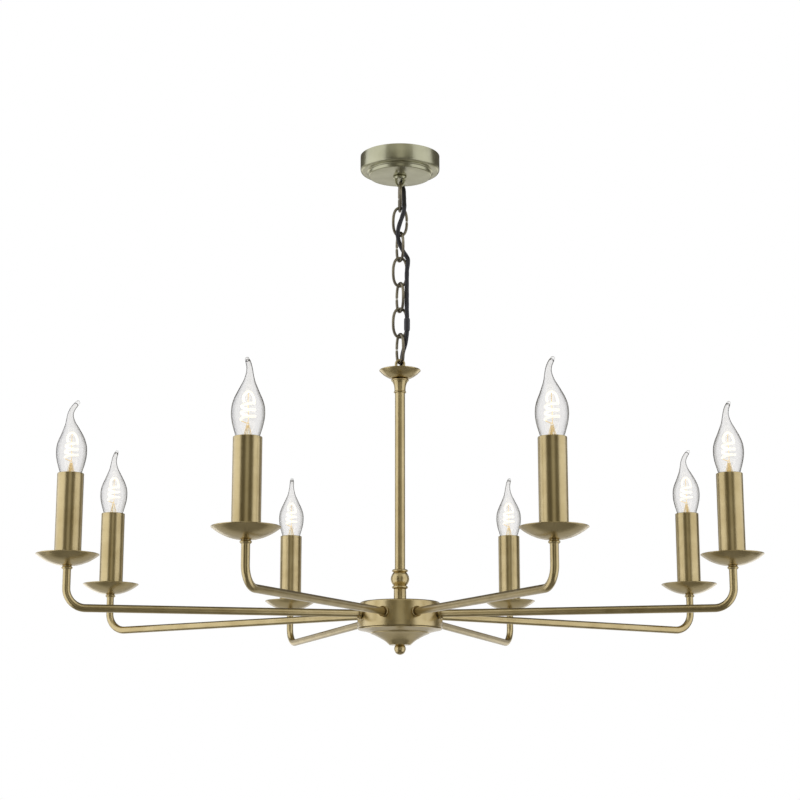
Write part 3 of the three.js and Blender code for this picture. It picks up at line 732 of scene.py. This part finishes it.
def hub():
    """The hub's cup with its arm holes, the steel bridge inside, the bottom cover and the finial."""
    at_plane = Matrix.Translation((0, 0, ARM_PLANE))
    wall = flowing([(48.3, 13), (48.9, 8), (49.9, 1), (50.9, -6), (51.35, -10.5), (51.2, -14.2)], 5)
    outer = [(5.2, HUB_TOP), (45.6, HUB_TOP), *arc((46, 12.7), 2.3, 90, 8, 6), *wall]
    outer += arc((50.5, HUB_RIM + 0.7), 0.7, 0, -90, 4)
    inner = [(49.2, HUB_RIM), (49.8, -12), (48.6, 0), (46.6, 12), (45, 13.5), (5.2, 13.5)]
    cup = fixture_piece("hub_cup", turned(outer + inner, 144), "hub_body")
    for arm in range(1, ARM_COUNT + 1):
        bore = turned([(0, 42), (5.1, 42), (5.1, 58), (0, 58)], 28, ring=False)
        lay_down = Matrix.Rotation(math.pi / 2, 4, "Y")
        aim = Matrix.Rotation(candle_angle(arm), 4, "Z")
        cut_away(cup, moved(bore, at_plane @ aim @ lay_down), 32)
    bridge = fixture_piece("hub_bridge", slab(rounded_oblong(99.2, 9, 1), -13, -11), material=STEEL)
    stud_hole = turned([(0, -16), (2.7, -16), (2.7, -8), (0, -8)], 24, ring=False)
    cut_away(bridge, moved(stud_hole, at_plane))
    rim = HUB_RIM - 0.3
    under = [(48.6, rim), (49.6, rim), *arc((49.5, rim - 0.8), 0.8, 90, -40, 5)]
    under += flowing([(49.2, -18.0), (46, -18.7), (43, -19.4), (39.4, -20.4), (36.6, -21.1)], 3)
    under += [(35.9, -21.3), (35.5, -21.7), (35.3, -22.2)]
    under += flowing([
        (34.6, -22.7), (31, -24.1), (26.6, -26.3), (22.2, -28.7), (18.2, -31.2), (14.2, -34.6),
    ], 4)
    under += [*arc((12.6, -35.3), 0.7, -20, -90, 3), (2.9, -36)]
    above = [(2.9, -34.8), (11.6, -34.8), (17.6, -29.4), (26.2, -24.7), (35, -20.4), (42.8, -17.9)]
    cover = turned(softened(under + above, 0.2), 144)
    fixture_piece("hub_cover", cover, "hub_bottom_cover", crease=30)
    ball = [*arc((0, -40.6), 7, -90, 40, 20), (4.8, -36.4), (2.3, -36.2), (2.3, -10.2), (1.8, -9), (0, -9)]
    fixture_piece("hub_finial_ball", turned(ball, 48, ring=False), "hub_finial")


# ---------------------------------------------------------------- arms and candles


def arm_route():
    """An arm's centre line in the XZ plane, from inside the hub to its threaded end above the dish."""
    along = Vector((math.cos(ARM_DROOP), 0, -math.sin(ARM_DROOP)))
    corner = Vector((CANDLE_REACH, 0, -(CANDLE_REACH - ARM_LEVEL_RADIUS) * math.tan(ARM_DROOP)))
    turn = math.pi / 2 + ARM_DROOP
    centre = Vector((CANDLE_REACH - ARM_BEND_RADIUS, 0, corner.z + ARM_BEND_RADIUS * math.tan(turn / 2)))
    start = corner - along * ((CANDLE_REACH - ARM_START) / along.x)
    bend = []
    bend_steps = 18
    for step in range(bend_steps + 1):
        angle = -turn + turn * step / bend_steps
        bend.append(centre + Vector((math.cos(angle), 0, math.sin(angle))) * ARM_BEND_RADIUS)
    straight = [start.lerp(bend[0], step / 24) for step in range(24)]
    end = Vector((CANDLE_REACH, 0, DISH_BOTTOM + 9))
    rise = [bend[-1].lerp(end, step / 6) for step in range(1, 7)]
    return straight + bend + rise, along


def arm_shape():
    """An arm tube with the eyelet where it enters the hub and the nut below its dish."""
    route, along = arm_route()
    pipe = tube(route, ARM_RADIUS, 28, bore=ARM_BORE)
    eyelet_outline = softened([
        (4.55, 0), (6.4, 0), (6.4, 1.9), (6.05, 2.5), (5.7, 2.3), (5.4, 1.5), (5.2, 0.9), (4.55, 0.8),
    ], 0.3)
    foot = route[0] + along * (FERRULE_START - ARM_START)
    lay_down = along.to_track_quat("Z", "Y").to_matrix().to_4x4()
    eyelet = moved(turned(eyelet_outline, 40), Matrix.Translation(foot * MM) @ lay_down)
    nut_height = 3.3
    nut_foot = DISH_BOTTOM - 0.3 - nut_height
    nut_top = nut_foot + nut_height
    nut_outline = [(4.55, nut_foot), (5.2, nut_foot)]
    nut_outline += arc((5.3, nut_foot + nut_height / 2), 1.0, -70, 70, 6)
    nut_outline += [(5.2, nut_top), (4.55, nut_top)]
    nut = moved(turned(softened(nut_outline, 0.2), 36), Matrix.Translation((CANDLE_REACH * MM, 0, 0)))
    return joined(pipe, eyelet, nut)


def candle_dish_shape():
    """The shallow dish under a candle, with a hole for the arm's threaded end."""
    radius, depth, hole = 35.5, DISH_RIM - DISH_BOTTOM, 5.1
    return turned(bowl_outline(radius, DISH_RIM, depth, hole, steps=18), 96)


def candle_sleeve_shape():
    """A drawn metal sleeve with a turned-in lip at its top."""
    foot, radius, bore = DISH_BOTTOM + 3.5, 15, 14
    outline = [(bore, foot), (radius - 0.1, foot), (radius, foot + 0.4)]
    outline += [(radius, foot + (SLEEVE_TOP - foot) * step / 12) for step in range(1, 12)]
    outline += [(radius, SLEEVE_TOP - 0.7), *arc((radius - 0.6, SLEEVE_TOP - 0.6), 0.6, 0, 90, 5)]
    outline += [(13.6, SLEEVE_TOP), (13.6, SLEEVE_TOP - 0.8), (bore, SLEEVE_TOP - 1.6)]
    return turned(outline, 64)


def lampholder_shape():
    """A stepped ceramic holder whose socket has a rolled thread."""
    foot = DISH_BOTTOM + 2.2
    bore, waist, body, socket = 5.1, 9, 12.6, 8.1
    outer = [(bore, foot), (waist, foot), (waist, foot + 15.5), (body, foot + 19.5)]
    outer += [(body, HOLDER_TOP - 6), (body - 0.5, HOLDER_TOP - 5.4), (body - 0.5, HOLDER_TOP - 4.6)]
    outer += [
        (body, HOLDER_TOP - 4), (body, HOLDER_TOP - 0.8), (body - 0.8, HOLDER_TOP), (socket, HOLDER_TOP),
    ]
    thread = []
    for turn in range(6):
        crest = HOLDER_TOP - 4 - 2.8 * turn
        thread += [(socket, crest + 1.4), (socket - 0.5, crest)]
    inner = [*thread, (socket, HOLDER_TOP - 28.5), (bore, HOLDER_TOP - 30.5)]
    return turned(softened(outer, 0.3) + softened(inner, 0.5), 40)


# The bent-tip bulb: heights above the sleeve top, each with the glass's radius and its lean off the axis.
BULB_STATIONS = [
    (-13.6, 6.6, 0), (-10, 8.2, 0), (-5, 10.3, 0), (0, 12.1, 0), (6, 13.9, 0), (12, 15.6, 0), (19, 17.0, 0),
    (26, 17.4, 0), (33, 16.7, 0), (40, 14.5, -0.2), (46, 11.7, -0.7), (52.5, 8.6, -1.5), (58, 6.0, -2.3),
    (64, 4.3, -2.9), (68.5, 3.5, -2.7), (72.8, 3.1, -1.4), (77, 2.9, 1.0), (80, 2.7, 3.4), (82.2, 2.4, 5.2),
]
GLASS_WALL = 0.55
TIP_STEPS = 5  # rings in the rounded end of the tip
SOLID_TIP_RINGS = 5  # the bulb isn't hollow along its last few rings
LEAN_FOOT = 30  # the extra lean starts at this height above the sleeve top
LEAN_RISE = 52  # and is at its full value this far above that
SPIRAL_RADIUS = 7.4
SPIRAL_FOOT = 18  # height above the sleeve top
BULB_TURNS = (25, 68, 90, 75, 0, 115, 45, 50)  # which way each tip curls, degrees about +Z
BULB_LEANS = (0, 0, 0, 0, 0, 0, -2.6, -0.8)  # extra lean at the tip
SPIRAL_TURNS = (-15, 8, 20, -12, 14, -6, 0, -10)  # which way each filament's arch lies


def bulb_glass_shape(lean):
    """Blown glass with an even wall, closed at its curled tip by a solid bead."""
    stations = flowing(BULB_STATIONS, 4)
    points = [
        Vector((offset + lean * max(height - LEAN_FOOT, 0) / LEAN_RISE, 0, SLEEVE_TOP + height))
        for height, _radius, offset in stations
    ]
    radii = [radius for _height, radius, _offset in stations]
    frames = cross_frames(points)
    sides = 48
    vertices, faces = [], []

    def add_rings(shrink, count):
        first = len(vertices)
        for point, cross_frame, radius in list(zip(points, frames, radii))[:count]:
            for step in range(sides):
                vertices.append((point + spoke(cross_frame, step, sides) * (radius - shrink)) * MM)
        last = first + (count - 1) * sides
        for ring in range(first, last, sides):
            faces.extend(wall_between(ring, ring + sides, sides))
        return first, last

    def close_end(ring, last, heading, radius):
        """A rounded end on a ring, like the end of a bead."""
        for level in range(1, TIP_STEPS):
            lift = math.pi / 2 * level / TIP_STEPS
            centre = points[last] + heading * radius * math.sin(lift)
            first = len(vertices)
            for step in range(sides):
                vertices.append((centre + spoke(frames[last], step, sides) * radius * math.cos(lift)) * MM)
            faces.extend(wall_between(ring, first, sides))
            ring = first
        top = len(vertices)
        vertices.append((points[last] + heading * radius) * MM)
        for step in range(sides):
            faces.append((ring + step, ring + (step + 1) % sides, top))

    end = len(points) - 1
    outer_foot, outer_end = add_rings(0, end + 1)
    close_end(outer_end, end, (points[end] - points[end - 1]).normalized(), radii[end])
    hollow = end - SOLID_TIP_RINGS
    inner_foot, inner_end = add_rings(GLASS_WALL, hollow + 1)
    inner_heading = (points[hollow + 1] - points[hollow]).normalized()
    close_end(inner_end, hollow, inner_heading, radii[hollow] - GLASS_WALL)
    faces += wall_between(outer_foot, inner_foot, sides)
    return vertices, faces


def bulb_cap_shape():
    """The screw cap: a rolled thread, then a taper to the insulator."""
    top = CAP_TOP
    outline = [(6.2, top + 1.2), (6.75, top + 1.2), (CAP_RADIUS, top + 0.6), (CAP_RADIUS, top - 2)]
    for turn in range(5):
        crest = top - 3.6 - 2.8 * turn
        outline += [(CAP_RADIUS - 0.75, crest + 1.4), (CAP_RADIUS - 0.05, crest)]
    outline += [(6.4, top - 18), (5.4, top - 20.4), (4.6, top - 21.4), (4.0, top - 21.2), (5.0, top - 19.5)]
    outline += [(5.7, top - 17), (5.7, top - 2), (6.2, top - 0.6)]
    return turned(softened(outline, 0.6, 3), 40)


def bulb_contact_shapes():
    """The dark insulator at the cap's foot and the contact button under it."""
    top = CAP_TOP
    insulator = softened([
        (0, top - 21.0), (4.4, top - 21.3), (3.4, top - 23.0), (2.2, top - 23.4), (0, top - 23.4),
    ], 0.4, closed=False)
    button = softened([
        (0, top - 23.3), (2.1, top - 23.3), (2.0, top - 24.2), (1.2, top - 24.7), (0, top - 24.8),
    ], 0.4, closed=False)
    return turned(insulator, 28, ring=False), turned(button, 24, ring=False)


def bulb_stem_shape():
    """The glass stem that carries the lead wires up into the bulb."""
    outline = flowing([(5.2, -12.5), (4.6, -9), (3.8, -4), (3.3, 0), (2.3, 5), (1.3, 9.5), (0.8, 12)], 5)
    outline = [(0, -12.6), *outline, (0, 12.6)]
    return turned([(radius, SLEEVE_TOP + height) for radius, height in outline], 24, ring=False)


def support_wire_shapes():
    """Gilt lead wires that lean together over the stem, the lead to the spiral and the centre post."""
    rise = SLEEVE_TOP
    wires = []
    for side in (-1, 1):
        leg = flowing([
            (4.9 * side, 0, rise - 6), (4.2 * side, 0, rise), (2.8 * side, 0, rise + 6),
            (1.0 * side, 0, rise + 13), (0.3 * side, 0, rise + 15),
        ], 5)
        wires.append(tube(leg, 0.38, 10))
    for depth in (-1, 1):
        brace = flowing([
            (0, 4.4 * depth, rise - 4), (0, 3.4 * depth, rise + 3), (0, 1.3 * depth, rise + 12),
        ], 5)
        wires.append(tube(brace, 0.36, 10))
    lead = flowing([
        (-0.3, 0, rise + 14), (-2.6, 0, rise + 15), (-6.0, 0, rise + 16.4),
        (-SPIRAL_RADIUS, 0, rise + SPIRAL_FOOT),
    ], 5)
    wires.append(tube(lead, 0.4, 10))
    post = flowing([(0.3, 0, rise + 14), (0.3, 0, rise + 24), (-0.2, 0, rise + 36), (0, 0, rise + 46)], 4)
    wires.append(tube(post, 0.34, 10))
    return joined(*wires)


def filament_shape():
    """A thick lit spiral, with an arch at its top that hangs from the centre post."""
    turns, steps, rise = 2.5, 90, SLEEVE_TOP + SPIRAL_FOOT
    points = []
    for step in range(steps + 1):
        share = step / steps
        angle = 2 * math.pi * turns * (share - 1)
        width = SPIRAL_RADIUS * (1 - 0.12 * share)
        points.append((width * math.cos(angle), width * math.sin(angle), rise + 17 * share))
    arch = flowing([
        points[-1], (6.1, 0, rise + 21), (4.0, 0, rise + 26.5), (0, 0, rise + 29.2),
        (-4.0, 0, rise + 26.5), (-5.4, 0, rise + 21.5), (-4.6, 0, rise + 18.6),
    ], 8)
    return tube(points + arch[1:], 1.3, 14)


def add_candles():
    """The eight arms with their dishes, sleeves, holders and bulbs."""
    arm, dish, sleeve, holder = arm_shape(), candle_dish_shape(), candle_sleeve_shape(), lampholder_shape()
    cap, (insulator, button), stem = bulb_cap_shape(), bulb_contact_shapes(), bulb_stem_shape()
    wires, spiral = support_wire_shapes(), filament_shape()
    for index in range(1, ARM_COUNT + 1):
        angle = candle_angle(index)
        at_hub = Matrix.Translation((0, 0, ARM_PLANE)) @ Matrix.Rotation(angle, 4, "Z")
        at_candle = at_hub @ Matrix.Translation((CANDLE_REACH * MM, 0, 0))
        for name, shape, material, slot, node, at in (
            ("arm", arm, ARM_BRASS, "antique_brass", "arm_tube", at_hub),
            ("dish", dish, BRASS, "antique_brass", "candle_dish", at_candle),
            ("sleeve", sleeve, BRASS, "antique_brass", "candle_sleeve", at_candle),
            ("holder", holder, HOLDER, "lampholder", "lampholder", at_candle),
        ):
            piece = make_piece(f"{name}_{index}", *shape, material)
            place(piece, "fixture", slot, f"{node}_{index}", at=at)
        upright = Matrix.Translation(at_candle.translation)
        at_glass, at_spiral = (
            upright @ Matrix.Rotation(math.radians(turns[index - 1]), 4, "Z")
            for turns in (BULB_TURNS, SPIRAL_TURNS)
        )
        glass = bulb_glass_shape(BULB_LEANS[index - 1])
        for name, shape, material, slot, at in (
            ("glass", glass, GLASS, "bulb_glass", at_glass),
            ("glass_stem", stem, STEM_GLASS, "bulb_glass", at_spiral),
            ("cap", cap, CAP_BRASS, "antique_brass", at_glass),
            ("insulator", insulator, INSULATOR, "cable_black", at_glass),
            ("contact", button, CAP_BRASS, "antique_brass", at_glass),
            ("leads", wires, GILT_PAINTED_GLOW, "antique_brass", at_spiral),
            ("filament", spiral, FILAMENT, "bulb_glass", at_spiral),
        ):
            piece = make_piece(f"bulb_{name}_{index}", *shape, material)
            place(piece, f"lamp_{index}", slot, f"bulb_{index}", at=at)


# ---------------------------------------------------------------- floor, light and camera


def floor():
    size, depth = 4.0, -3.4
    vertices = [(-size, -size, depth), (size, -size, depth), (size, size, depth), (-size, size, depth)]
    material, nodes, links, shader, coordinates = new_material("pale_floor")
    tone = remap(nodes, links, noise(nodes, links, coordinates, 3), 0.3, 0.7, 0, 1)
    colour = blend_colours(nodes, links, tone, (0.62, 0.615, 0.605), (0.68, 0.675, 0.665))
    links.new(colour, shader.inputs["Base Color"])
    set_socket(shader, Roughness=0.8)
    plane = make_piece("floor", vertices, [(0, 1, 2, 3)], material)


def add_panel(name, centre, width, height, power, colour=(1, 1, 1)):
    """A soft light panel facing the middle of the arms' plane, seen only in reflections."""
    lamp = bpy.data.lights.new(name, "AREA")
    lamp.shape = "RECTANGLE"
    lamp.size = width
    lamp.size_y = height
    lamp.energy = power
    lamp.color = colour
    panel = bpy.data.objects.new(name, lamp)
    panel.location = centre
    outward = Vector(centre) - Vector((0, 0, ARM_PLANE))
    panel.rotation_euler = outward.to_track_quat("Z", "Y").to_euler()
    panel.visible_camera = False
    panel.visible_transmission = False
    bpy.context.scene.collection.objects.link(panel)


def studio_panels():
    """Panels all round, the side ones slightly cool."""
    cool = (0.95, 0.98, 1.14)
    add_panel("panel_right", (1.2, -0.44, -0.5), 1.6, 3.2, 17, cool)
    add_panel("panel_left", (-1.2, -0.24, -0.5), 1.8, 3.2, 21.5, cool)
    add_panel("panel_front", (0.1, -3.1, -0.4), 1.2, 4.0, 6.5)
    add_panel("panel_above", (0, -1.3, 1.4), 2.4, 2.0, 7.5)
    add_panel("panel_back_left", (-1.4, 2.0, -0.5), 1.4, 2.0, 5)
    add_panel("panel_back_right", (1.4, 2.0, -0.5), 1.4, 2.0, 3.5)
    add_panel("panel_low_back", (0, 2.4, -1.0), 4.0, 1.0, 9)
    add_panel("panel_low", (0, 1.5, -2.0), 3.6, 1.4, 6.5)


def add_background(nodes, colour, strength):
    background = nodes.new("ShaderNodeBackground")
    background.inputs["Color"].default_value = (*colour, 1)
    background.inputs["Strength"].default_value = strength
    return background.outputs["Background"]


def surroundings():
    """White behind everything, through glass too, and a dim warm room in what the surfaces reflect."""
    world = bpy.data.worlds.new("studio")
    world.use_nodes = True
    nodes, links = world.node_tree.nodes, world.node_tree.links
    nodes.clear()
    path = nodes.new("ShaderNodeLightPath")
    bounces = nodes.new("ShaderNodeMath")
    bounces.operation = "ADD"
    links.new(path.outputs["Glossy Depth"], bounces.inputs[0])
    links.new(path.outputs["Diffuse Depth"], bounces.inputs[1])
    seen = nodes.new("ShaderNodeMath")
    seen.operation = "LESS_THAN"
    seen.inputs[1].default_value = 0.5
    links.new(bounces.outputs[0], seen.inputs[0])
    room = add_background(nodes, (1.0, 0.93, 0.80), 0.11)
    backdrop = add_background(nodes, (1, 1, 1), 1.0)
    mix = nodes.new("ShaderNodeMixShader")
    output = nodes.new("ShaderNodeOutputWorld")
    links.new(seen.outputs[0], mix.inputs["Fac"])
    links.new(room, mix.inputs[1])
    links.new(backdrop, mix.inputs[2])
    links.new(mix.outputs[0], output.inputs["Surface"])
    bpy.context.scene.world = world
    bpy.context.scene.view_settings.view_transform = "Standard"


def camera():
    """A long lens in front of the fixture, below its arms and tilted up."""
    distance, height, tilt = 2.167, -0.779, 12.08
    view = bpy.data.cameras.new("camera")
    view.lens = 81.0
    view.sensor_width = 36.0
    eye = bpy.data.objects.new("camera", view)
    eye.location = (0, -distance, height)
    eye.rotation_euler = (math.radians(90 + tilt), 0, 0)
    bpy.context.scene.collection.objects.link(eye)
    bpy.context.scene.camera = eye


camera()
studio_panels()
surroundings()
floor()
ceiling_bracket()
ceiling_canopy()
canopy_loop()
terminal_block()
for link_number in range(1, LINK_COUNT + 1):
    chain_link(link_number)
cable_pieces()
cable_sleeve()
stem_top()
stem_column()
hub()
add_candles()
